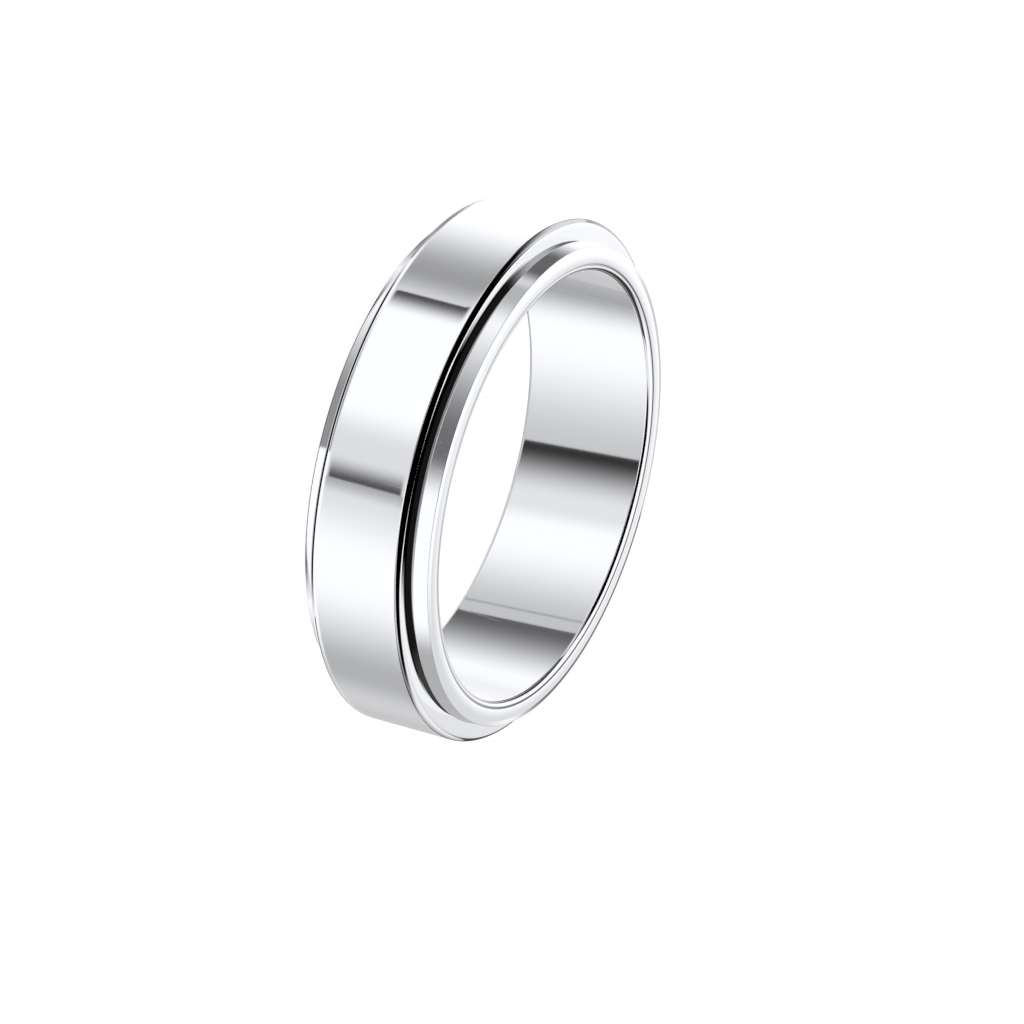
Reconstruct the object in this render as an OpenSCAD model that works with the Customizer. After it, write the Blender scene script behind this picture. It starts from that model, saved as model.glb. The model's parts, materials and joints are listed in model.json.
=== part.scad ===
// Spinner ring: a worn inner band with a channel round its outside, and a loose band that turns in the channel.
// The ring lies flat. Its axis is +Z, its lower face is at z = 0, and the origin is on the axis.
// Each band is its cross-section turned about the axis, so every wall and edge is truly round.

/* [Inner band] */
// Diameter of the finger hole
bore_d = 18.95; // [14:0.05:24]
// Width of the ring, from its lower face to its upper face
ring_w = 6; // [5:0.1:12]
// Wall of the sleeve between the finger hole and the channel's floor
sleeve_wall = 0.65; // [0.5:0.05:1.2]
// Depth of the channel below the rims of the two flanges
channel_depth = 0.5; // [0.3:0.05:0.8]
// Width of each flange
flange_w = 0.72; // [0.6:0.02:1.2]
// Radius of the round at both edges of the finger hole
hole_edge_r = 0.2; // [0.1:0.02:0.3]
// Radius of the small round on both edges of each flange's rim
flange_edge_r = 0.06; // [0.02:0.01:0.15]

/* [Spinner band] */
// Thickness of the spinner band, from its bore to its outside
spinner_t = 1.35; // [0.8:0.05:2]
// Radius of the round on both outer corners of the spinner band
spinner_edge_r = 0.25; // [0.1:0.01:0.35]
// Radius of the small round on both inner corners of the spinner band
spinner_bore_edge_r = 0.06; // [0.02:0.01:0.15]

/* [Running fit] */
// Radial clearance between the channel's floor and the spinner band
run_clearance = 0.05; // [0.02:0.01:0.1]
// Gap between the lower flange and the spinner band, which lies low in its channel
lower_gap = 0.03; // [0.01:0.01:0.1]
// Gap between the spinner band and the upper flange
upper_gap = 0.2; // [0.05:0.01:0.4]

/* [Hidden] */
$fn = 180;

bore_r = bore_d / 2;
floor_r = bore_r + sleeve_wall;
flange_r = floor_r + channel_depth;
spinner_in_r = floor_r + run_clearance;
spinner_out_r = spinner_in_r + spinner_t;
spinner_low_z = flange_w + lower_gap;
spinner_high_z = ring_w - flange_w - upper_gap;

// Rectangle of a cross-section with its inner corners rounded by in_r and its outer corners by out_r
module band_section(r_in, r_out, z_low, z_high, in_r, out_r) {
    depth = r_out - r_in;
    height = z_high - z_low;
    translate([r_in + in_r, z_low]) square([depth - in_r - out_r, height]);
    translate([r_in, z_low + in_r]) square([depth - out_r, height - 2 * in_r]);
    translate([r_in + in_r, z_low + out_r]) square([depth - in_r, height - 2 * out_r]);
    for (z = [z_low + in_r, z_high - in_r]) translate([r_in + in_r, z]) circle(in_r);
    for (z = [z_low + out_r, z_high - out_r]) translate([r_out - out_r, z]) circle(out_r);
}

// The worn band: a sleeve with a flange at each end, so that the channel between them holds the spinner band
module inner_band() {
    color([0.82, 0.82, 0.83]) rotate_extrude() {
        band_section(bore_r, floor_r, 0, ring_w, hole_edge_r, flange_edge_r);
        for (z = [0, ring_w - flange_w])
            band_section(bore_r, flange_r, z, z + flange_w, hole_edge_r, flange_edge_r);
    }
}

// The band that spins: it runs on the channel's floor and the flanges keep it from sliding off
module spinner_band() {
    color([0.72, 0.73, 0.75]) rotate_extrude()
        band_section(spinner_in_r, spinner_out_r, spinner_low_z, spinner_high_z, spinner_bore_edge_r, spinner_edge_r);
}

inner_band();
spinner_band();
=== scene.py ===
# %% [markdown]
# # A spinner ring of polished steel
# The object is a plain hoop that is worn on a finger. It has a channel round its outside, and a second,
# loose band turns in that channel. Both bands are mirror-polished steel.
#
# A mirror has hardly any colour of its own. Most of the work is therefore in two places: in outlines
# that are truly round, because a mirror shows every facet, and in what stands round the ring to be
# reflected.

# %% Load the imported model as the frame
import json
import math

import bmesh
import bpy
from mathutils import Matrix, Vector


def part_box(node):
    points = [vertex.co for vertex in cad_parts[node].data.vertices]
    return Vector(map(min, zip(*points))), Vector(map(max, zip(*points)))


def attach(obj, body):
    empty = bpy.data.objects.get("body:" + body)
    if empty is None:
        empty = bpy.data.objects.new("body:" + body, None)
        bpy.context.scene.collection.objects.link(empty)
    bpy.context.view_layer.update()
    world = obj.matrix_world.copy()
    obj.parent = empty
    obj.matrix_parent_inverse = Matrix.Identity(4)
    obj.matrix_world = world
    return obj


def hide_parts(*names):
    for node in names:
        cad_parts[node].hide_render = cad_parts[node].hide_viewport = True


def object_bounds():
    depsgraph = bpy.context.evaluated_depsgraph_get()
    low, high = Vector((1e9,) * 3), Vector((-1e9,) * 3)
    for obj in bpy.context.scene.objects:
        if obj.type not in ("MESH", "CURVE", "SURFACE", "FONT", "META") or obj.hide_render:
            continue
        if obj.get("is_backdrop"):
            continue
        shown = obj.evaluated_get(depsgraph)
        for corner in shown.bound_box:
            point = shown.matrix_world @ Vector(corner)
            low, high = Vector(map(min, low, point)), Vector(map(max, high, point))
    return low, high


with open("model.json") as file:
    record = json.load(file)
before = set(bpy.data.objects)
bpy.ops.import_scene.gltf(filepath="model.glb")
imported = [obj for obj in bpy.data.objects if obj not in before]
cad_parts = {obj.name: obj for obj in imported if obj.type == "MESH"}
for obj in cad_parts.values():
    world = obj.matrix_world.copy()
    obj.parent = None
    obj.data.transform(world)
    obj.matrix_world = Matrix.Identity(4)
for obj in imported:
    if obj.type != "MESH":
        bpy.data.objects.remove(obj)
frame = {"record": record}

cad_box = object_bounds()

# %% [markdown]
# ## Sizes
# Blender works in metres here, and the ring is about 23 mm across. Its main sizes are read from the
# frame, so that the visible bands can't drift away from the solids that they stand for. The thicknesses
# are those of the solids too, named in millimetres, and so are all the small measures further down.

# %% Sizes of the two bands
MM = 0.001

inner_low, inner_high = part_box("inner_band")
spinner_low, spinner_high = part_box("spinner_band")
mounts = {mount["name"]: mount for mount in frame["record"]["mounts"]}

ring_w = inner_high.z
flange_r = inner_high.x
spinner_r = spinner_high.x
bore_r = mounts["finger_hole"]["dims"]["r_mm"] * MM

SLEEVE_WALL = 0.65 * MM
FLANGE_W = 0.72 * MM
SPINNER_T = 1.35 * MM
floor_r = bore_r + SLEEVE_WALL
print(f"hole {2 * bore_r / MM:.2f} mm, width {ring_w / MM:.2f} mm, spinner {2 * spinner_r / MM:.2f} mm")

# %% [markdown]
# ## The camera
# The photograph has the flat perspective of a long lens. It looks at the ring's rim and a little down
# on its front face, and is turned so that the ring stands up. The ring here lies flat, so the camera
# stands 24 degrees above the floor and is rolled by the same turn. The aim is moved off the ring's
# centre instead of shifting the lens, because a shift would spoil every other view.

# %% Camera at the photograph's angle
CAMERA_HEIGHT_DEG = 24.09
CAMERA_ROLL_DEG = -105.07
CAMERA_DISTANCE = 0.5264
LENS_MM = 433.1
SENSOR_MM = 36.0
IMAGE_PX = 1024
CLIP_START = 0.01
# Where the centre of the front face lies in the picture, from the picture's own centre
FACE_RIGHT_PX = 35.1
FACE_UP_PX = 25.1


def make_camera():
    """A camera on the +X side, with the ring's front face where the photograph has it."""
    height = math.radians(CAMERA_HEIGHT_DEG)
    roll = math.radians(CAMERA_ROLL_DEG)
    back = Vector((math.cos(height), 0, math.sin(height)))
    level_right = Vector((0, 1, 0))
    level_up = back.cross(level_right)
    right = level_right * math.cos(roll) - level_up * math.sin(roll)
    up = level_right * math.sin(roll) + level_up * math.cos(roll)
    face_centre = Vector((0, 0, ring_w))
    metres_per_px = SENSOR_MM / LENS_MM / IMAGE_PX * CAMERA_DISTANCE
    aim = face_centre - (right * FACE_RIGHT_PX + up * FACE_UP_PX) * metres_per_px
    place = face_centre + back * CAMERA_DISTANCE
    view_back = (place - aim).normalized()
    view_right = up.cross(view_back).normalized()
    view_up = view_back.cross(view_right)
    data = bpy.data.cameras.new("camera")
    data.lens = LENS_MM
    data.sensor_width = SENSOR_MM
    data.clip_start = CLIP_START
    camera = bpy.data.objects.new("camera", data)
    turn = Matrix((view_right, view_up, view_back)).transposed().to_4x4()
    camera.matrix_world = Matrix.Translation(place) @ turn
    bpy.context.scene.collection.objects.link(camera)
    bpy.context.scene.camera = camera
    return camera


camera = make_camera()
print(f"camera stands {camera.location.z / MM:.0f} mm above the floor")

# %% [markdown]
# ## Outlines
# A ring is an outline turned about an axis. The outline is a closed loop of points, each with its
# radius, its height, and its wear: up to 1 on a rubbed edge, 0 on a plain face and -1 in a hollow,
# where the steel paints shade.
# Beside every round there is one more point a hair's breadth along the flat. Without it, smooth shading
# would bend the whole flat wall's reflection.

# %% Arcs with a support point at each end
SUPPORT = 0.008 * MM
PLAIN = 0.0
HOLLOW = -1.0


def on_arc(centre, size, angle_deg, along=0.0):
    """The point of a circle at angle_deg, moved along its tangent by a length."""
    angle = math.radians(angle_deg)
    radius = centre[0] + size * math.cos(angle) - along * math.sin(angle)
    height = centre[1] + size * math.sin(angle) + along * math.cos(angle)
    return radius, height


def arc(centre, size, start_deg, end_deg, steps):
    """An arc of a circle, as (radius, height, wear) points, with a support point before and after it."""
    way = math.copysign(SUPPORT, end_deg - start_deg)
    points = [(*on_arc(centre, size, start_deg, -way), PLAIN)]
    for step in range(steps + 1):
        part = step / steps
        place = on_arc(centre, size, start_deg + (end_deg - start_deg) * part)
        points.append((*place, math.sin(math.pi * part)))
    points.append((*on_arc(centre, size, end_deg, way), PLAIN))
    return points


# %% [markdown]
# The band that turns is a thick, plain strip. Its outer corners are what the eye goes to. Polishing
# never leaves a flat wall quite flat up to its edge, so the last third of a millimetre leans in by up
# to three degrees before the round begins. It makes every reflection fade softly there, instead of
# being cut off.

# %% Outline of the band that turns
SPINNER_EDGE = 0.27 * MM
SPINNER_EDGE_STEPS = 20
SPINNER_BORE_EDGE = 0.06 * MM
SPINNER_BORE_STEPS = 5
WALL_SOFT = 0.32 * MM
WALL_SOFT_DEG = 3.0
WALL_SOFT_STEPS = 7


def spinner_outline():
    """The turning band's section: its upper half from the bore to the wall, then the same mirrored."""
    high = spinner_high.z
    bore_centre = (spinner_r - SPINNER_T + SPINNER_BORE_EDGE, high - SPINNER_BORE_EDGE)
    points = arc(bore_centre, SPINNER_BORE_EDGE, 180, 90, SPINNER_BORE_STEPS)

    lean = math.radians(WALL_SOFT_DEG)
    fall = 0.5 * WALL_SOFT * math.tan(lean)
    wall_centre = (spinner_r - fall - SPINNER_EDGE * math.cos(lean), high - SPINNER_EDGE)
    points += arc(wall_centre, SPINNER_EDGE, 90, WALL_SOFT_DEG, SPINNER_EDGE_STEPS)

    soft_top = high - SPINNER_EDGE + SPINNER_EDGE * math.sin(lean)
    for step in range(1, WALL_SOFT_STEPS + 1):
        left = 1 - step / WALL_SOFT_STEPS
        points.append((spinner_r - fall * left * left, soft_top - WALL_SOFT * (1 - left), PLAIN))
    both_ends = spinner_low.z + high
    mirrored = [(radius, both_ends - height, wear) for radius, height, wear in reversed(points)]
    return points + mirrored


# %% [markdown]
# The worn band has a flange at each end. Seen closely, the flange's rim is very slightly tapered, and
# its face is very slightly crowned, with a fine bevel outside and a fine turned line where the hole's
# rounded edge begins. None of it is more than a few hundredths of a millimetre deep, but in a mirror it
# turns a dead flat face into one that shades off, and it draws the thin dark lines that the photograph
# shows round the hole. The turned line is darkened further by painted shade in the steel.

# %% Outline of the worn band
HOLE_EDGE = 0.20 * MM
HOLE_EDGE_STEPS = 16
FRONT_EDGE = 0.014 * MM
BACK_EDGE = 0.06 * MM
FLANGE_EDGE_STEPS = 6
FRONT_TAPER = 0.06 * MM
BACK_TAPER = 0.04 * MM
CROWN = 0.007 * MM
CROWN_STEPS = 12
BEVEL_W = 0.24 * MM
BEVEL_DEG = 10
LINE_W = 0.16 * MM
LINE_DEEP = 0.020 * MM


def flange_points(edge, taper):
    """Half of the worn band's section, from the channel's floor over a flange to the hole's wall."""
    under_z = ring_w - FLANGE_W
    taper_deg = math.degrees(math.atan2(taper, FLANGE_W - 2 * edge))
    rim_end_r = flange_r - taper
    bevel_r = rim_end_r - BEVEL_W
    crown_low_z = ring_w - CROWN
    turned_r = bore_r + HOLE_EDGE + LINE_W

    points = [(floor_r, under_z, PLAIN)]
    points += arc((flange_r - edge, under_z + edge), edge, -90, taper_deg, FLANGE_EDGE_STEPS)
    slope = math.radians(BEVEL_DEG)
    centre_r = rim_end_r - edge * math.cos(math.radians(taper_deg))
    corner_r = centre_r + edge * math.sin(slope)
    corner_z = crown_low_z - (corner_r - bevel_r) * math.tan(slope)
    centre = (centre_r, corner_z - edge * math.cos(slope))
    points += arc(centre, edge, taper_deg, 90 - BEVEL_DEG, FLANGE_EDGE_STEPS)
    points.append((bevel_r + SUPPORT, crown_low_z - SUPPORT * math.tan(slope), PLAIN))

    middle_r = (bevel_r + turned_r) / 2
    half = (bevel_r - turned_r) / 2
    for step in range(CROWN_STEPS + 1):
        across = 1 - 2 * step / CROWN_STEPS
        points.append((middle_r + half * across, ring_w - CROWN * across * across, PLAIN))
    # The turned line's bottom is marked as a hollow, where the steel paints shade.
    points.append((turned_r - LINE_W / 2, crown_low_z - LINE_DEEP, HOLLOW))
    hole_centre = (bore_r + HOLE_EDGE, crown_low_z - HOLE_EDGE)
    points += arc(hole_centre, HOLE_EDGE, 90, 180, HOLE_EDGE_STEPS)
    return points


def inner_outline():
    """The whole section: the front half, then the back half with its softer edges, mirrored."""
    front = flange_points(FRONT_EDGE, FRONT_TAPER)
    back = reversed(flange_points(BACK_EDGE, BACK_TAPER))
    return front + [(radius, ring_w - height, wear) for radius, height, wear in back]


print("outline points:", len(spinner_outline()), "and", len(inner_outline()))

# %% [markdown]
# ## Node trees
# The lathe, the steel and the surroundings are all node trees. A small class keeps the code that builds
# them short: it adds nodes, and links or sets their inputs.


# %% A short way to write node trees
class Wires:
    """Adds nodes to a tree. Any value may be a number or another node's output."""

    def __init__(self, tree):
        self.tree = tree

    def add(self, kind, **settings):
        node = self.tree.nodes.new(kind)
        for name, value in settings.items():
            setattr(node, name, value)
        return node

    def feed(self, socket, value):
        if isinstance(value, bpy.types.NodeSocket):
            self.tree.links.new(value, socket)
        else:
            socket.default_value = value

    def put(self, node, **values):
        """Feeds the inputs of a node by name, with _ for a space."""
        for name, value in values.items():
            self.feed(node.inputs[name.replace("_", " ")], value)
        return node

    def math(self, operation, *values):
        node = self.add("ShaderNodeMath", operation=operation)
        for socket, value in zip(node.inputs, values):
            self.feed(socket, value)
        return node.outputs[0]

    def times(self, first, *others):
        """All the values multiplied."""
        for value in others:
            first = self.math("MULTIPLY", first, value)
        return first

    def choose(self, part, on, off):
        """off where part is 0, and on where it is 1."""
        return self.math("MULTIPLY_ADD", part, self.math("SUBTRACT", on, off), off)

    def ramp(self, value, start, end, low=0.0, high=1.0):
        """A soft step from low to high, as value goes from start to end."""
        node = self.add("ShaderNodeMapRange", interpolation_type="SMOOTHSTEP")
        self.put(node, Value=value, From_Min=start, From_Max=end, To_Min=low, To_Max=high)
        return node.outputs[0]

    def split(self, vector):
        """The X, Y and Z of a vector."""
        node = self.add("ShaderNodeSeparateXYZ")
        self.feed(node.inputs[0], vector)
        return tuple(node.outputs)

    def radius(self, x, y):
        """The distance from the ring's axis."""
        return self.math("SQRT", self.math("ADD", self.times(x, x), self.times(y, y)))

    def azimuth(self, x, y):
        """The compass direction round the ring's axis, in degrees from +X."""
        return self.math("DEGREES", self.math("ARCTAN2", y, x))

    def mix_colours(self, part, first, second):
        """The first colour where part is 0, and the second one where it is 1."""
        node = self.add("ShaderNodeMix", data_type="RGBA")
        self.feed(node.inputs["Factor"], part)
        self.feed(node.inputs[6], first)
        self.feed(node.inputs[7], second)
        return node.outputs[2]

    def mix_shaders(self, part, first, second):
        """The first shader where part is 0, and the second one where it is 1."""
        node = self.add("ShaderNodeMixShader")
        for socket, value in zip(node.inputs, (part, first, second)):
            self.feed(socket, value)
        return node.outputs[0]


def shader_group(name, inputs, outputs):
    """A new shader group, as its wires and its inputs. Every output of it is one value."""
    group = bpy.data.node_groups.new(name, "ShaderNodeTree")
    for socket, kind in inputs:
        group.interface.new_socket(socket, in_out="INPUT", socket_type="NodeSocket" + kind)
    for socket in outputs:
        group.interface.new_socket(socket, in_out="OUTPUT", socket_type="NodeSocketFloat")
    wires = Wires(group)
    return wires, wires.add("NodeGroupInput").outputs


# %% [markdown]
# ## The lathe
# Blender has a Screw modifier and a Spin tool, but a Geometry Nodes lathe keeps the number of steps and
# the metal as named inputs, and it can carry the wear along. It lays a grid whose columns are the
# outline's points and whose rows are the steps of the turn. Each grid point then looks up its outline
# point by number and is turned about the ring's axis. Where the grid's edges meet, their points are
# merged.

# %% The lathe's tree
LATHE_STEPS = 720
MERGE_WITHIN = 0.00001 * MM


def lathe_tree():
    """Turns an outline about Z. Its inputs are the outline, the number of steps and the metal."""
    tree = bpy.data.node_groups.new("lathe", "GeometryNodeTree")
    tree.interface.new_socket("Outline", in_out="INPUT", socket_type="NodeSocketGeometry")
    steps = tree.interface.new_socket("Steps", in_out="INPUT", socket_type="NodeSocketInt")
    steps.default_value = LATHE_STEPS
    tree.interface.new_socket("Metal", in_out="INPUT", socket_type="NodeSocketMaterial")
    tree.interface.new_socket("Band", in_out="OUTPUT", socket_type="NodeSocketGeometry")
    wires = Wires(tree)
    given = wires.add("NodeGroupInput").outputs

    size = wires.put(wires.add("GeometryNodeAttributeDomainSize"), Geometry=given["Outline"])
    count = size.outputs["Point Count"]
    across = wires.math("ADD", count, 1)
    around = wires.math("ADD", given["Steps"], 1)
    grid = wires.put(wires.add("GeometryNodeMeshGrid"), Vertices_X=around, Vertices_Y=across)

    index = wires.add("GeometryNodeInputIndex").outputs[0]
    row = wires.math("FLOOR", wires.math("DIVIDE", index, across))
    column = wires.math("SUBTRACT", index, wires.math("MULTIPLY", row, across))
    point = wires.math("MODULO", column, count)

    def look_up(value, data_type):
        """A value of the outline at the grid point's own outline point."""
        node = wires.add("GeometryNodeSampleIndex", data_type=data_type)
        wires.put(node, Geometry=given["Outline"], Value=value, Index=point)
        return node.outputs["Value"]

    def pass_on(mesh, kind, **values):
        """The mesh after one more node."""
        return wires.put(wires.add(kind), Geometry=mesh, **values).outputs[0]

    place = look_up(wires.add("GeometryNodeInputPosition").outputs[0], "FLOAT_VECTOR")
    named = wires.put(wires.add("GeometryNodeInputNamedAttribute", data_type="FLOAT"), Name="rubbed")
    rubbed = look_up(named.outputs["Attribute"], "FLOAT")
    angle = wires.math("MULTIPLY", wires.math("DIVIDE", row, given["Steps"]), math.tau)
    turn = wires.add("ShaderNodeVectorRotate", rotation_type="Z_AXIS")
    wires.put(turn, Vector=place, Angle=angle)

    store = wires.add("GeometryNodeStoreNamedAttribute", data_type="FLOAT", domain="POINT")
    wires.put(store, Geometry=grid.outputs["Mesh"], Name="rubbed", Value=rubbed)
    mesh = pass_on(store.outputs[0], "GeometryNodeSetPosition", Position=turn.outputs[0])
    mesh = pass_on(mesh, "GeometryNodeMergeByDistance", Distance=MERGE_WITHIN)
    mesh = pass_on(mesh, "GeometryNodeSetShadeSmooth")
    mesh = pass_on(mesh, "GeometryNodeRealizeInstances")
    mesh = pass_on(mesh, "GeometryNodeSetMaterial", Material=given["Metal"])
    wires.put(wires.add("NodeGroupOutput"), Band=mesh)
    return tree


LATHE = lathe_tree()
print("lathe inputs:", [item.name for item in LATHE.interface.items_tree if item.in_out == "INPUT"])

# %% [markdown]
# The lathe's result is baked: the outline's object carries the modifier for a moment, its evaluated
# mesh is kept, and the rest is thrown away. What stays is a plain closed mesh with its wear stored on
# each point.


# %% Turning an outline into a plain mesh
def lathe_input(name):
    """The identifier of one of the lathe's inputs, which is what a modifier's settings go by."""
    return next(item.identifier for item in LATHE.interface.items_tree if item.name == name)


def turn_band(name, points, metal):
    """A plain mesh object made by the lathe from an outline. The modifier is gone when it returns."""
    outline = bpy.data.meshes.new(name + "_outline")
    outline.from_pydata([(radius, 0, height) for radius, height, wear in points], [], [])
    rubbed = outline.attributes.new("rubbed", "FLOAT", "POINT")
    rubbed.data.foreach_set("value", [wear for radius, height, wear in points])
    carrier = bpy.data.objects.new(name + "_outline", outline)
    bpy.context.scene.collection.objects.link(carrier)
    lathe = carrier.modifiers.new("lathe", "NODES")
    lathe.node_group = LATHE
    lathe[lathe_input("Steps")] = LATHE_STEPS
    lathe[lathe_input("Metal")] = metal
    graph = bpy.context.evaluated_depsgraph_get()
    mesh = bpy.data.meshes.new_from_object(carrier.evaluated_get(graph))
    bpy.data.objects.remove(carrier)
    mesh.name = name
    return close_up(name, mesh)


def close_up(name, mesh):
    """Points every face outwards, prints what the band measures, and gives the band's object."""
    shell = bmesh.new()
    shell.from_mesh(mesh)
    bmesh.ops.recalc_face_normals(shell, faces=shell.faces)
    gaps = sum(1 for edge in shell.edges if not edge.is_manifold)
    volume = shell.calc_volume(signed=True) / MM**3
    shell.to_mesh(mesh)
    shell.free()
    band = bpy.data.objects.new(name, mesh)
    bpy.context.scene.collection.objects.link(band)
    print(f"{name}: {2 * len(mesh.polygons)} triangles, {gaps} open edges, {volume:.1f} mm3")
    return band


# %% [markdown]
# ## The steel
# The photograph shows hard, bright metal with a mirror polish. A mirror finish still isn't one flat
# colour. There are marks on it that are far finer than the eye first sees: the lines left by the
# polishing wheel, a few hairline scratches from wear, and edges that have been rubbed a little duller.
# The hollows also get painted shade, darker on the ring's far side. These come from three shader groups
# with their own inputs, so that the two bands can share them in different amounts. The first one makes
# the wheel's lines, which run round the ring.

# %% Lines left by the polishing wheel
LINE_WAVE = 2.0
LINE_DETAIL = 3.0


def polish_group():
    """Fine lines that run round the axis. It puts out one value, from 0 to 1."""
    inputs = [("Spot", "Vector"), ("Lines per mm", "Float")]
    wires, given = shader_group("wheel_lines", inputs, ["Lines"])
    x, y, z = wires.split(given["Spot"])
    turn = wires.math("ARCTAN2", y, x)
    per_metre = wires.math("DIVIDE", given["Lines per mm"], MM)
    line = wires.add("ShaderNodeCombineXYZ")
    wires.put(line, X=wires.times(z, per_metre), Y=wires.times(wires.radius(x, y), per_metre))
    wires.put(line, Z=wires.times(wires.math("COSINE", turn), LINE_WAVE))
    noise = wires.add("ShaderNodeTexNoise")
    wires.put(noise, Vector=line.outputs[0], Scale=1.0, Detail=LINE_DETAIL)
    wires.put(wires.add("NodeGroupOutput"), Lines=noise.outputs["Fac"])
    return wires.tree


WHEEL_LINES = polish_group()

# %% [markdown]
# A hairline scratch is the peak of a noise that is drawn out in one direction. The fewer the peaks that
# are let through, the rarer the scratches.

# %% Hairline scratches
SCRATCH_SCALE = (9000, 9000, 320)
SCRATCH_FADE = 0.03


def hairline_group():
    """Sparse, thin scratches at a slant. It puts out a mask, 1 in a scratch and 0 beside it."""
    inputs = [("Spot", "Vector"), ("Slant", "Vector"), ("Rarity", "Float")]
    wires, given = shader_group("hairlines", inputs, ["Scratch"])
    lay = wires.add("ShaderNodeMapping")
    wires.put(lay, Vector=given["Spot"], Rotation=given["Slant"], Scale=SCRATCH_SCALE)
    noise = wires.put(wires.add("ShaderNodeTexNoise"), Vector=lay.outputs[0], Scale=1.0, Detail=1.0)
    full = wires.math("ADD", given["Rarity"], SCRATCH_FADE)
    scratch = wires.ramp(noise.outputs["Fac"], given["Rarity"], full)
    wires.put(wires.add("NodeGroupOutput"), Scratch=scratch)
    return wires.tree


HAIRLINES = hairline_group()

# %% [markdown]
# The lathe has stored on each point whether it is an edge or a hollow. Edges are rubbed in patches.
# The hollows get painted shade, more of it on the ring's far side, where the photograph shows the
# turned line darker.

# %% Rubbed edges, and painted shade in the hollows
PATCHES_PER_METRE = 900.0
PATCH_DETAIL = 2.0
PATCH_RAMP = (0.35, 0.65)
HOLLOW_RAMP = (-0.15, -0.45)
SHADE_NEAR_TO_FAR = (5 * MM, -5 * MM, 0.4, 1.0)


def wear_and_shade_group():
    """The lathe's record of each edge, broken up a little, and painted shade in each hollow. It puts out
    two masks.
    """
    inputs = [("Spot", "Vector"), ("Amount", "Float")]
    wires, given = shader_group("rubbed_edges_and_hollow_shade", inputs, ["Rubbed", "Hollow"])
    wear = wires.add("ShaderNodeAttribute", attribute_name="rubbed").outputs["Fac"]
    noise = wires.add("ShaderNodeTexNoise")
    wires.put(noise, Vector=given["Spot"], Scale=PATCHES_PER_METRE, Detail=PATCH_DETAIL)
    patchy = wires.ramp(noise.outputs["Fac"], *PATCH_RAMP)
    edge = wires.math("MAXIMUM", wear, 0.0)
    x, y, z = wires.split(given["Spot"])
    # Painted shade: the hollows are marked dark, more so towards the ring's far side.
    hollow = wires.times(wires.ramp(wear, *HOLLOW_RAMP), wires.ramp(x, *SHADE_NEAR_TO_FAR))
    masks = wires.add("NodeGroupOutput")
    wires.put(masks, Rubbed=wires.times(edge, patchy, given["Amount"]), Hollow=hollow)
    return wires.tree


WEAR_AND_HOLLOW_SHADE = wear_and_shade_group()
print("shader groups:", [group.name for group in (WHEEL_LINES, HAIRLINES, WEAR_AND_HOLLOW_SHADE)])

# %% [markdown]
# The groups meet in one steel. Lines, scratches and rubbed edges change its roughness by a few
# hundredths, and rubbed edges make it a little paler. Only the painted shade in the hollows is dark.
# The lines' and scratches' height is less than a thousandth of a millimetre, because anything deeper
# would break up the clean reflections that make the metal read as polished.

# %% Polished steel
STEEL_COLOUR = (0.770, 0.776, 0.800, 1)
RUBBED_COLOUR = (0.80, 0.80, 0.81, 1)
# Painted shade: the dark colour laid into the hollows, such as the turned line.
PAINTED_SHADE_COLOUR = (0.05, 0.05, 0.055, 1)
RUBBED_SHARE = 0.5
SMOOTHEST = 0.045
LINES_ROUGH = 0.02
MARKS_ROUGH = 0.05
# A scratch is cut in, so its height is negative. It is a share of the height of the wheel's lines.
SCRATCH_HEIGHT = -0.6
RELIEF = 0.0002 * MM
SCRATCH_RARITY = 0.70
SCRATCH_TILT_DEG = 20


def polished_steel(name, lines_per_mm, slant_deg, worn):
    """Mirror-polished steel. Each band gets its own line spacing, scratch direction and wear."""
    metal = bpy.data.materials.new(name)
    metal.use_nodes = True
    wires = Wires(metal.node_tree)
    shader = metal.node_tree.nodes["Principled BSDF"]
    spot = wires.add("ShaderNodeTexCoord").outputs["Object"]

    slant = (math.radians(slant_deg), math.radians(SCRATCH_TILT_DEG), 0)
    lines = wires.add("ShaderNodeGroup", node_tree=WHEEL_LINES)
    wires.put(lines, Spot=spot, Lines_per_mm=lines_per_mm)
    scratch = wires.add("ShaderNodeGroup", node_tree=HAIRLINES)
    wires.put(scratch, Spot=spot, Slant=slant, Rarity=SCRATCH_RARITY)
    edges = wires.add("ShaderNodeGroup", node_tree=WEAR_AND_HOLLOW_SHADE)
    wires.put(edges, Spot=spot, Amount=worn)
    rubbed, hollow = edges.outputs

    marks = wires.math("ADD", scratch.outputs[0], rubbed)
    rough = wires.math("MULTIPLY_ADD", lines.outputs[0], LINES_ROUGH, SMOOTHEST)
    rough = wires.math("MULTIPLY_ADD", marks, MARKS_ROUGH, rough)
    colour = wires.mix_colours(wires.times(rubbed, RUBBED_SHARE), STEEL_COLOUR, RUBBED_COLOUR)
    # The painted shade goes into the hollows here.
    colour = wires.mix_colours(hollow, colour, PAINTED_SHADE_COLOUR)
    height = wires.math("MULTIPLY_ADD", scratch.outputs[0], SCRATCH_HEIGHT, lines.outputs[0])
    bump = wires.put(wires.add("ShaderNodeBump"), Height=height, Strength=1.0, Distance=RELIEF)
    wires.put(shader, Base_Color=colour, Roughness=rough, Metallic=1.0, Normal=bump.outputs[0])
    return metal


INNER_STEEL = polished_steel("inner_steel_polish", lines_per_mm=9.0, slant_deg=62, worn=0.6)
SPINNER_STEEL = polished_steel("spinner_steel_polish", lines_per_mm=6.0, slant_deg=48, worn=1.0)

# %% [markdown]
# ## The two bands
# Each band replaces its CAD solid, rides on that solid's body and gets its own polished steel. The
# bands are kept out of each other's reflections. In so narrow a channel a real mirror shows its own
# reflection many times over, as dark broken slivers, and the photograph has one clean tone on each face
# instead. A card inside the channel, further down, gives that darkness back.

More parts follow.
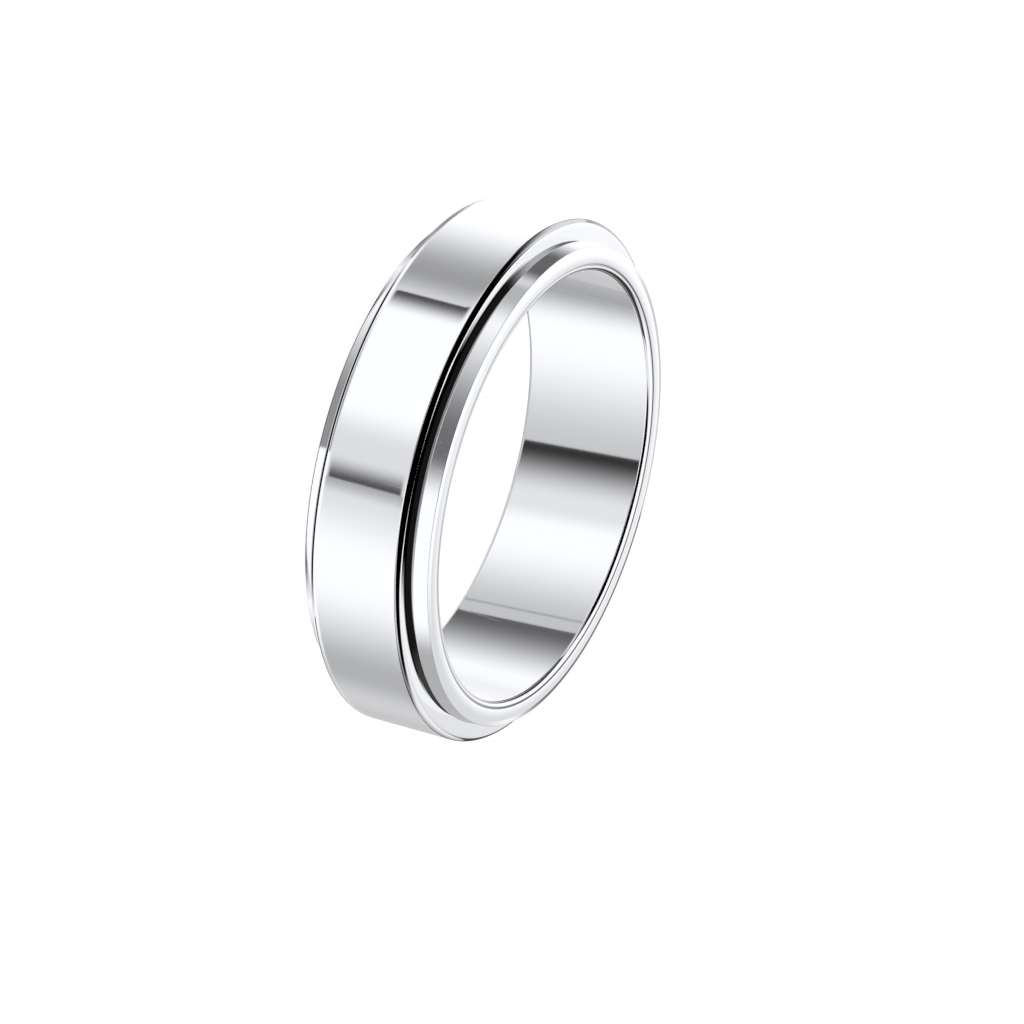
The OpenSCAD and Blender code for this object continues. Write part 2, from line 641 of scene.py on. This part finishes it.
# %% Turn both bands and tie them to the frame
inner_band = turn_band("worn_band", inner_outline(), INNER_STEEL)
spinner_band = turn_band("turning_band", spinner_outline(), SPINNER_STEEL)

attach(inner_band, "inner_band")
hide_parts("inner_band")

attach(spinner_band, "spinner_band")
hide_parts("spinner_band")

inner_band.visible_glossy = False
spinner_band.visible_glossy = False

# %% [markdown]
# ## The table
# The photograph's ground is pure white, like a light table. A floor lit only by a lamp would be grey,
# so this one glows as well, and one large, soft lamp stands overhead. Mirror rays see neither: they see
# the cards instead.

# %% Floor and lamp
PURE_WHITE = (1, 1, 1, 1)
FLOOR_HALF = 1.5
FLOOR_COLOUR = (0.9, 0.9, 0.9, 1)
FLOOR_GLOW = 0.75
LAMP_PLACE = (0.1, -0.1, 0.6)
LAMP_SIZE = 0.9
LAMP_WATTS = 1.6


def make_floor():
    """A pale floor that glows a little."""
    mesh = bpy.data.meshes.new("floor")
    corners = [(-1, -1), (1, -1), (1, 1), (-1, 1)]
    mesh.from_pydata([(x * FLOOR_HALF, y * FLOOR_HALF, 0) for x, y in corners], [], [(0, 1, 2, 3)])
    floor = bpy.data.objects.new("floor", mesh)
    bpy.context.scene.collection.objects.link(floor)
    pale = bpy.data.materials.new("light_table")
    pale.use_nodes = True
    shader = pale.node_tree.nodes["Principled BSDF"]
    wires = Wires(pale.node_tree)
    wires.put(shader, Base_Color=FLOOR_COLOUR, Roughness=1.0, Specular_IOR_Level=0.0)
    wires.put(shader, Emission_Color=PURE_WHITE, Emission_Strength=FLOOR_GLOW)
    mesh.materials.append(pale)
    floor.visible_glossy = False
    floor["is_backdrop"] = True


def make_lamp():
    """A large soft lamp overhead."""
    data = bpy.data.lights.new("soft_lamp", "AREA")
    data.size = LAMP_SIZE
    data.energy = LAMP_WATTS
    lamp = bpy.data.objects.new("soft_lamp", data)
    lamp.location = LAMP_PLACE
    lamp.visible_glossy = False
    bpy.context.scene.collection.objects.link(lamp)


make_floor()
make_lamp()
print(f"floor {2 * FLOOR_HALF} m wide, lamp {LAMP_PLACE[2]} m above it")

# %% [markdown]
# ## Cards to reflect
# Polished metal is often photographed among cards: white ones make the metal bright, and grey and black
# ones draw its shape. Here each card is a range of azimuth, the compass direction round the ring's
# axis, and a darkness. It fades in from its start, is full for a while, and fades out. A card whose
# full part ends where its fade ends has a sharp edge, and that edge is what makes the metal look hard.
# One shader group is one card, and cards in a row multiply, as layers of grey film would.


# %% One grey card
def card_group():
    """How much light one card lets through, by azimuth in degrees."""
    names = ("Azimuth", "Start", "Full from", "Full to", "End", "Darkness")
    wires, given = shader_group("grey_card", [(name, "Float") for name in names], ["Light"])
    fade_in = wires.ramp(given["Azimuth"], given["Start"], given["Full from"])
    fade_out = wires.ramp(given["Azimuth"], given["Full to"], given["End"], 1.0, 0.0)
    shade = wires.times(fade_in, fade_out, given["Darkness"])
    wires.put(wires.add("NodeGroupOutput"), Light=wires.math("SUBTRACT", 1.0, shade))
    return wires.tree


GREY_CARD = card_group()


def row_of_cards(wires, azimuth, cards):
    """The light that is left after every card of a row."""
    light = 1.0
    for name, *card in cards:
        node = wires.add("ShaderNodeGroup", node_tree=GREY_CARD, label=name)
        for socket, value in zip(node.inputs, (azimuth, *card)):
            wires.feed(socket, value)
        light = wires.times(node.outputs[0], light)
    return light


# %% [markdown]
# A wall that stands straight up reflects only one height of the surroundings, for each place of the
# camera. The rims lean a little, so they reflect another height. That gives each surface its own row of
# cards. The turning band has two, broad soft walls and narrow dark strips, and each rim has one. The
# row for the hole comes further down, with the cup that it is painted on.

# %% Rows of cards: start, full from, full to, end, darkness
TURNING_BAND_WALLS = (
    ("left wall", -123, -82, -81, -57, 0.66),
    ("front wall", -14, 2, 22, 52, 0.27),
    ("front shade", 19.5, 20.0, 20.1, 27, 0.42),
    ("right wall", 64, 113, 117, 160, 0.56),
    ("far right wall", 125, 160, 172, 180, 0.50),
)
TURNING_BAND_STRIPS = (
    ("left strip", -68.5, -68.1, -68, -57, 0.93),
    ("front strip", 9, 19.6, 19.65, 20.0, 0.91),
)
FRONT_RIM_CARDS = (
    ("left dark", -150, -122, -108, -92, 0.89),
    ("left grey", -100, -92, -86, -66, 0.55),
    ("front shade", -78, -10, -2, 20, 0.86),
    ("right grey", 78, 100, 180, 181, 0.58),
)
BACK_RIM_CARDS = (
    ("left dark", -150, -125, -118, -85, 0.90),
    ("front shade", -72, -18, 9, 10.5, 0.72),
    ("right grey", 88, 125, 180, 181, 0.55),
)

# %% [markdown]
# The world puts the rows together. Its one unusual measure is the lean: twice the angle by which a spot
# must lean back from upright to mirror a direction into the camera. It is the same all round the ring
# for one surface, so each row of cards is a range of lean. Between the rows it is white.

# %% Rows of cards on the world: lowest lean, highest lean, fade, cards
WHITE = 1.28
# About the camera's height in degrees, as seen from the middle of the ring
CAMERA_DEG = 24.3
LEAST_COSINE = 0.05
ROWS = (
    (-5.0, 8.3, 0.5, TURNING_BAND_WALLS),
    (-3.2, 3.2, 1.6, TURNING_BAND_STRIPS),
    (8.8, 21.0, 0.4, FRONT_RIM_CARDS),
    (-13.0, -5.6, 0.4, BACK_RIM_CARDS),
)


def band_of(wires, value, low, high, fade):
    """1 where value lies between low and high, with a short fade at both ends."""
    rise = wires.ramp(value, low - fade, low + fade)
    fall = wires.ramp(value, high - fade, high + fade, 1.0, 0.0)
    return wires.times(rise, fall)


def darken(wires, light, where, darkness):
    """light, made darker by darkness at the places given by where."""
    return wires.times(light, wires.math("SUBTRACT", 1.0, wires.times(where, darkness)))


def lean_of(wires, azimuth, height):
    """The lean of a direction, in degrees. It is kept from growing endless straight behind the ring."""
    half_turn = wires.math("COSINE", wires.math("RADIANS", wires.math("DIVIDE", azimuth, 2.0)))
    half_turn = wires.math("MAXIMUM", half_turn, LEAST_COSINE)
    return wires.math("DIVIDE", wires.math("ADD", height, CAMERA_DEG), half_turn)


def light_of_rows(wires, azimuth, lean):
    """White, darkened by each row of cards within its range of lean."""
    light = 1.0
    for low, high, fade, cards in ROWS:
        darkness = wires.math("SUBTRACT", 1.0, row_of_cards(wires, azimuth, cards))
        light = darken(wires, light, band_of(wires, lean, low, high, fade), darkness)
    return light


# %% [markdown]
# The horizon is dark at the sides and behind, which gives white metal on a white ground its thin
# outlines, and so is the ground underneath. High up behind the ring, on its +Y side, hangs a grey
# cloth: the front face mirrors it.
#
# Each fade, here and further down, is written as its start, its end, and then the values before and
# after it where these aren't 0 and 1. Each of the cloth's two ranges is written as its start, its end,
# and half the width of its soft edges.

# %% Dark ground, dark horizon and a grey cloth
GROUND_FADE = (-24, -20, 1.0, 0.0)
GROUND_CENTRE = (-60, -48, 0.3, 1.0)
GROUND_DARKNESS = 0.98
HORIZON_FADE = (18, 22)
HORIZON_SIDES = (25, 45)
HORIZON_LEFT = (-165, -140, 0.45, 1.0)
HORIZON_RIGHT = (160, 172, 1.0, 0.85)
HORIZON_DARKNESS = 0.95
TOP_LEFT = (-146, -128, 12, 30)
TOP_RIGHT = (156, 170, 60, 12)
TOP_FADE = (0, 6, 1.0, 0.0)
CLOTH_ACROSS = (0.0, 60.0, 3.2)
CLOTH_HEIGHT = (19, 40, 3.5)
CLOTH_DARKNESS = 0.30


def dark_ground(wires, height, lean):
    """Where the ground is dark. Straight down it is less so."""
    return wires.times(wires.ramp(lean, *GROUND_FADE), wires.ramp(height, *GROUND_CENTRE))


def dark_horizon(wires, azimuth, height, lean):
    """Where the horizon is dark: not in front, and up to a height that changes with the azimuth."""
    sides = wires.ramp(wires.math("ABSOLUTE", azimuth), *HORIZON_SIDES)
    behind = wires.times(wires.ramp(azimuth, *HORIZON_LEFT), wires.ramp(azimuth, *HORIZON_RIGHT))
    top = wires.math("MINIMUM", wires.ramp(azimuth, *TOP_LEFT), wires.ramp(azimuth, *TOP_RIGHT))
    below_top = wires.ramp(wires.math("SUBTRACT", height, top), *TOP_FADE)
    return wires.times(sides, behind, wires.ramp(lean, *HORIZON_FADE), below_top)


def grey_cloth(wires, x, y, height):
    """Where the cloth hangs, by the azimuth from straight behind the ring and by height."""
    off_back = wires.azimuth(wires.times(x, -1), y)
    return wires.times(band_of(wires, off_back, *CLOTH_ACROSS), band_of(wires, height, *CLOTH_HEIGHT))


def mirror_light(wires):
    """The light from each direction, as mirror rays see it."""
    x, y, z = wires.split(wires.add("ShaderNodeTexCoord").outputs["Generated"])
    azimuth = wires.azimuth(x, y)
    height = wires.math("DEGREES", wires.math("ARCSINE", z))
    lean = lean_of(wires, azimuth, height)
    light = light_of_rows(wires, azimuth, lean)
    light = darken(wires, light, dark_ground(wires, height, lean), GROUND_DARKNESS)
    light = darken(wires, light, dark_horizon(wires, azimuth, height, lean), HORIZON_DARKNESS)
    return darken(wires, light, grey_cloth(wires, x, y, height), CLOTH_DARKNESS)


# %% [markdown]
# Only mirror rays see these cards. The camera sees a plain white world behind the floor, and the floor
# gets a little white light from it.

# %% The world
FILL_LIGHT = 0.2


def make_world():
    """Cards for mirror rays, plain white for the camera, and a weak white light for the rest."""
    world = bpy.data.worlds.new("studio")
    bpy.context.scene.world = world
    world.use_nodes = True
    world.cycles.sampling_method = "NONE"
    world.node_tree.nodes.clear()
    wires = Wires(world.node_tree)
    path = wires.add("ShaderNodeLightPath").outputs
    cards = wires.add("ShaderNodeBackground")
    wires.put(cards, Color=PURE_WHITE, Strength=wires.times(mirror_light(wires), WHITE))
    plain = wires.add("ShaderNodeBackground")
    wires.put(plain, Color=PURE_WHITE, Strength=wires.choose(path["Is Camera Ray"], 1.0, FILL_LIGHT))
    both = wires.mix_shaders(path["Is Glossy Ray"], plain.outputs[0], cards.outputs[0])
    wires.put(wires.add("ShaderNodeOutputWorld"), Surface=both)
    return world


world = make_world()
print("world:", world.name, "with", len(world.node_tree.nodes), "nodes")

# %% [markdown]
# ## Cards close to the ring
# Some reflections come from things so near that a direction alone doesn't describe them. These cards
# are real surfaces beside the ring that only mirror rays can see. All of them belong to the stage.


# %% A helper for cards that only mirror rays see
def card_object(name, points, faces, light, clear_within=0.0):
    """A surface that glows by light(wires, x, y, z, azimuth) and shows in reflections alone.

    A mirror ray that started nearer than clear_within passes through it.
    """
    mesh = bpy.data.meshes.new(name)
    mesh.from_pydata(points, [], faces)
    card = bpy.data.objects.new(name, mesh)
    bpy.context.scene.collection.objects.link(card)
    paint = bpy.data.materials.new(name)
    paint.use_nodes = True
    paint.node_tree.nodes.clear()
    wires = Wires(paint.node_tree)
    x, y, z = wires.split(wires.add("ShaderNodeTexCoord").outputs["Object"])
    strength = wires.times(light(wires, x, y, z, wires.azimuth(x, y)), WHITE)
    glow = wires.put(wires.add("ShaderNodeEmission"), Color=PURE_WHITE, Strength=strength)
    surface = glow.outputs[0]
    if clear_within:
        length = wires.add("ShaderNodeLightPath").outputs["Ray Length"]
        clear = wires.add("ShaderNodeBsdfTransparent").outputs[0]
        surface = wires.mix_shaders(wires.math("LESS_THAN", length, clear_within), surface, clear)
    wires.put(wires.add("ShaderNodeOutputMaterial"), Surface=surface)
    mesh.materials.append(paint)
    card.visible_camera = False
    card.visible_diffuse = False
    card.visible_shadow = False
    card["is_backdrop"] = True
    print(f"card {name}: {len(faces)} faces")
    return card


# %% [markdown]
# Most of these cards are strips round the ring's axis. A profile gives a strip's section at each angle,
# so that it can rise or swing out along its way.


# %% Strips round the axis
def turned_strip(profile_at, start_deg, end_deg, steps):
    """Points and faces of a strip. profile_at gives its (radius, height) points at an angle."""
    points, faces = [], []
    for step in range(steps + 1):
        angle = start_deg + (end_deg - start_deg) * step / steps
        profile = profile_at(angle)
        turn = math.radians(angle)
        for radius, height in profile:
            points.append((radius * math.cos(turn), radius * math.sin(turn), height))
    width = len(profile)
    for step in range(steps):
        for i in range(width - 1):
            first = step * width + i
            faces.append((first, first + 1, first + width + 1, first + width))
    return points, faces


def part_of_way(value, start, end):
    """How far value has come from start to end, between 0 and 1."""
    return min(max((value - start) / (end - start), 0), 1)


def soft_way(value, start, end):
    """The same, slow at both ends."""
    part = part_of_way(value, start, end)
    return part * part * (3 - 2 * part)


# %% [markdown]
# The hole's far wall sees a cup of cards under the ring, which carries the hole's own bands of light
# and dark. They lean a little, as the photograph's do: the azimuth slips by about a degree for each
# millimetre of depth. Rays that start close by pass through the cup, so that it shows less in the
# outside of the ring when that is seen from behind.

# %% Cup of cards under the hole
CUP_R = 14 * MM
CUP_TOP = -2.95 * MM
CUP_RISE = 4.15 * MM
CUP_RISE_DEG = (95, 145)
CUP_BOTTOM = -14 * MM
NEAR_BOTTOM = 0.1 * MM
CUP_BOTTOM_LIGHT = 0.55
CUP_SLIP_DEG = 1.1
CUP_MIDDLE = -6.6 * MM
HOLE_CARDS = (
    ("left dark", -165.5, -103.5, -103.0, -102.4, 0.89),
    ("left grey", -102.9, -102.3, -95, -37, 0.45),
    ("left thin line", -93.6, -92.5, -92.1, -91.0, 0.40),
    ("front wall", -26, -11, 31.8, 32.5, 0.22),
    ("front strip", -5, 29, 31.8, 32.5, 0.96),
    ("front grey", 31.8, 32.5, 33, 106, 0.42),
    ("right grey", 122, 159, 171, 205, 0.62),
)
CLEAR_WITHIN = 9.3 * MM
END_DEG = 159.7
HIGH_END_DEG = 130
HIGH_END_Z = -1.2 * MM
LIGHT_END = 0.86
DARK_END = 0.54


def cup_profile(angle):
    """The cup's wall, which reaches higher behind the ring, and its bottom."""
    top = CUP_TOP + CUP_RISE * soft_way(abs(angle), *CUP_RISE_DEG)
    return [(CUP_R, top), (CUP_R, CUP_BOTTOM), (0.0, CUP_BOTTOM)]


def cup_light(wires, x, y, z, azimuth):
    """The hole's row of cards, a plain light at its two far ends, and a grey bottom."""
    slip = wires.times(wires.math("SUBTRACT", z, CUP_MIDDLE), CUP_SLIP_DEG / MM)
    row = row_of_cards(wires, wires.math("SUBTRACT", azimuth, slip), HOLE_CARDS)
    aside = wires.math("ABSOLUTE", azimuth)
    high_up = wires.math("GREATER_THAN", z, HIGH_END_Z)
    high_up = wires.times(high_up, wires.math("GREATER_THAN", aside, HIGH_END_DEG))
    at_end = wires.math("MAXIMUM", wires.math("GREATER_THAN", aside, END_DEG), high_up)
    end = wires.choose(wires.math("GREATER_THAN", y, 0.0), LIGHT_END, DARK_END)
    bottom = wires.math("LESS_THAN", z, CUP_BOTTOM + NEAR_BOTTOM)
    return wires.choose(bottom, CUP_BOTTOM_LIGHT, wires.choose(at_end, end, row))


card_object("hole_cup", *turned_strip(cup_profile, -180, 180, steps=360), cup_light, CLEAR_WITHIN)

# %% [markdown]
# Straight behind the ring the light end and the dark end of the hole's row would run into each other.
# Two cards back to back keep them apart, like a fin that stands out from the cup's wall: one is light
# and the other grey.

# %% Fin inside the cup
FIN_TOP = 1.8 * MM
FIN_INNER = 9.9 * MM
FIN_GAP = 0.01 * MM
FIN_LIGHT = (-CUP_R, -FIN_INNER, 0.86, 0.97)
FIN_GREY = (-CUP_R, -FIN_INNER, 0.46, 0.38)


def fin_light(wires, x, y, z, azimuth):
    """Light on the +Y side and grey on the other one. Each changes a little towards the cup's wall."""
    on_light = wires.math("GREATER_THAN", y, 0.0)
    return wires.choose(on_light, wires.ramp(x, *FIN_LIGHT), wires.ramp(x, *FIN_GREY))


fin_points, fin_faces = [], []
for side in (-FIN_GAP, FIN_GAP):
    first = len(fin_points)
    fin_points += [(-CUP_R, side, CUP_BOTTOM), (-FIN_INNER, side, CUP_BOTTOM)]
    fin_points += [(-FIN_INNER, side, FIN_TOP), (-CUP_R, side, FIN_TOP)]
    fin_faces.append((first, first + 1, first + 2, first + 3))
card_object("cup_fin", fin_points, fin_faces, fin_light, CLEAR_WITHIN)

# %% [markdown]
# Round the cup's rim, in front, lies a black lid that fades at both ends. The turning band's lower
# round looks down on it, and it draws the black line between that band and the back rim.

# %% Black lid in front
LID_INNER = 11.2 * MM
LID_OUTER = 14.2 * MM
LID_HEIGHT = -2.4 * MM
LID_HALF_DEG = 56
LID_FADE = (40, LID_HALF_DEG, 0.0, 0.85)


def lid_profile(angle):
    """A flat ring, outside the hole."""
    return [(LID_INNER, LID_HEIGHT), (LID_OUTER, LID_HEIGHT)]


def lid_light(wires, x, y, z, azimuth):
    """Black, and light at both ends."""
    return wires.ramp(wires.math("ABSOLUTE", azimuth), *LID_FADE)


card_object("lid_card", *turned_strip(lid_profile, -LID_HALF_DEG, LID_HALF_DEG, steps=60), lid_light)

# %% [markdown]
# A collar stands round the front of the ring, higher than its face. It is black in front. Its left end
# is lighter low down, its right end is light, and so is its lower edge on the right. The turning band's
# upper round mirrors it as the broad black line beside the channel. The hole's far edge is further away
# from it, and mirrors it as a thin line.

# %% Collar round the front
COLLAR_LOW_R = 16.7 * MM
COLLAR_LOW_Z = 4.8 * MM
COLLAR_HIGH_R = 14.2 * MM
COLLAR_HIGH_Z = 44 * MM
COLLAR_DEG = (-112, 120)
COLLAR_DROP = 1.8 * MM
COLLAR_DROP_DEG = (82, 94)
LEFT_END = (-98, -70, 0.7, 0.0)
LEFT_END_TOP = (13 * MM, 15.5 * MM, 1.0, 0.0)
RIGHT_END = (74, 90)
RIGHT_END_RISE = (5.2 * MM, 7.5 * MM, 0.5, 0.82)
BLACK_FROM_Z = (5, 50, COLLAR_LOW_Z - 0.3 * MM, COLLAR_LOW_Z + 2.2 * MM)
BLACK_FADE = (0.0, 0.2 * MM, 1.0, 0.0)
LOW_EDGE = (55, 68, 0.6, 0.25)


def collar_profile(angle):
    """The collar leans in towards the ring, and hangs lower at both ends."""
    drop = COLLAR_DROP * part_of_way(abs(angle), *COLLAR_DROP_DEG)
    return [(COLLAR_LOW_R, COLLAR_LOW_Z - drop), (COLLAR_HIGH_R, COLLAR_HIGH_Z)]


def collar_light(wires, x, y, z, azimuth):
    """The lightest of the left end, the right end and the lower edge. It is black elsewhere."""
    left = wires.times(wires.ramp(azimuth, *LEFT_END), wires.ramp(z, *LEFT_END_TOP))
    right = wires.times(wires.ramp(azimuth, *RIGHT_END), wires.ramp(z, *RIGHT_END_RISE))
    above_edge = wires.math("SUBTRACT", z, wires.ramp(azimuth, *BLACK_FROM_Z))
    low_edge = wires.times(wires.ramp(above_edge, *BLACK_FADE), wires.ramp(azimuth, *LOW_EDGE))
    return wires.math("MAXIMUM", wires.math("MAXIMUM", left, right), low_edge)


card_object("collar_card", *turned_strip(collar_profile, *COLLAR_DEG, steps=464), collar_light)

# %% [markdown]
# The channel card follows the channel's own section: the front flange's rim, just inside the metal, the
# flange's underside, just below it, and the top of the channel's floor. The turning band's side face
# mirrors these three, one after the other.

# %% Card inside the channel
SKIN = 0.03 * MM
FLOOR_SHOWN = 0.24 * MM
NEAR_FLOOR = 0.01 * MM
RIM_LIGHT = 0.88
RIM_LEFT = (-62, -47, 1.0, 0.0)
RIM_RIGHT = (58, 74)
RIM_GLINT = (24, 40)
RIM_GLINT_Z = (ring_w - 0.66 * MM, ring_w - 0.59 * MM)
UNDER_LEFT = (-62, -48, 0.42, 0.008)
UNDER_FAR_LEFT = (-76, -66, 0.15, 0.42)
UNDER_RIGHT = (46, 62, 0.0, 0.045)
UNDER_FAR_RIGHT = (76, 98, 0.0, 0.5)
FLOOR_LEFT = (-40, -10, 0.12, 0.0)
FLOOR_RIGHT = (5, 42, 0.20, 0.60)
FLOOR_SIDES = (46, 58, 1.0, 0.15)
FLOOR_FADE_Z = (ring_w - 0.805 * MM, ring_w - 0.765 * MM, 1.0, 0.02)


def channel_profile(angle):
    """The rim, the flange's underside and the floor."""
    rim_r = flange_r - FRONT_TAPER - SKIN
    top = ring_w - 2 * SKIN
    under = ring_w - FLANGE_W - SKIN / 4
    return [(rim_r, top), (rim_r, under), (floor_r, under), (floor_r, under - FLOOR_SHOWN)]


def rim_light(wires, z, azimuth):
    """Light at both sides, with a glint that runs on a little further towards the front."""
    glint = wires.ramp(wires.math("ABSOLUTE", azimuth), *RIM_GLINT)
    glint = wires.times(glint, wires.ramp(z, *RIM_GLINT_Z))
    sides = wires.math("MAXIMUM", wires.ramp(azimuth, *RIM_LEFT), wires.ramp(azimuth, *RIM_RIGHT))
    return wires.times(wires.math("MAXIMUM", glint, sides), RIM_LIGHT)


def underside_light(wires, azimuth):
    """Black in front and grey at the sides."""
    left = wires.math("MINIMUM", wires.ramp(azimuth, *UNDER_LEFT), wires.ramp(azimuth, *UNDER_FAR_LEFT))
    right = wires.ramp(azimuth, *UNDER_RIGHT)
    far_right = wires.ramp(azimuth, *UNDER_FAR_RIGHT)
    return wires.math("MAXIMUM", left, wires.math("MAXIMUM", right, far_right))


def floor_light(wires, z, azimuth):
    """Grey low down, almost black just under the flange, and lightest to the right of the front."""
    grey = wires.math("ADD", wires.ramp(azimuth, *FLOOR_RIGHT), wires.ramp(azimuth, *FLOOR_LEFT))
    sides = wires.ramp(wires.math("ABSOLUTE", azimuth), *FLOOR_SIDES)
    return wires.times(grey, sides, wires.ramp(z, *FLOOR_FADE_Z))


def channel_light(wires, x, y, z, azimuth):
    """Each of the three surfaces has its own light along the ring."""
    on_floor = wires.math("LESS_THAN", wires.radius(x, y), floor_r + NEAR_FLOOR)
    on_rim = wires.math("GREATER_THAN", z, ring_w - FLANGE_W)
    flange = wires.choose(on_rim, rim_light(wires, z, azimuth), underside_light(wires, azimuth))
    return wires.choose(on_floor, floor_light(wires, z, azimuth), flange)


card_object("channel_card", *turned_strip(channel_profile, -180, 180, steps=720), channel_light)

# %% [markdown]
# A last black card hangs over the front of the channel, like the peak of a cap. It hides most of the
# white room above from the turning band's shoulder, so the light line there almost goes out at the very
# front and comes back on both sides.

# %% Card over the front of the channel
PEAK_HEIGHT = 8.2 * MM
PEAK_INNER = 8.6 * MM
PEAK_SWING = 3.8 * MM
PEAK_OUTER = 15.0 * MM
PEAK_CENTRE_DEG = 5
PEAK_HALF_DEG = 52
PEAK_DEG = (PEAK_CENTRE_DEG - PEAK_HALF_DEG, PEAK_CENTRE_DEG + PEAK_HALF_DEG)


def peak_profile(angle):
    """The card's inner edge comes in over the channel at the front and swings out at the sides."""
    swing = soft_way(abs(angle - PEAK_CENTRE_DEG), 0, PEAK_HALF_DEG)
    return [(PEAK_INNER + PEAK_SWING * swing, PEAK_HEIGHT), (PEAK_OUTER, PEAK_HEIGHT)]


def no_light(wires, x, y, z, azimuth):
    """Black."""
    return 0.0


card_object("peak_card", *turned_strip(peak_profile, *PEAK_DEG, steps=260), no_light)

# %% [markdown]
# ## Finish
# The Standard view keeps the picture's whites white, as in a product photograph. The last lines write
# the size of the CAD model and of the visible one, so that the two can be compared.

# %% Sizes on paper, and the end
bpy.context.scene.view_settings.view_transform = "Standard"
made_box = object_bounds()
boxes = {"cad": [list(corner) for corner in cad_box], "made": [list(corner) for corner in made_box]}
for name, box in boxes.items():
    print(f"{name} size in mm:", [[round(value / MM, 3) for value in corner] for corner in box])
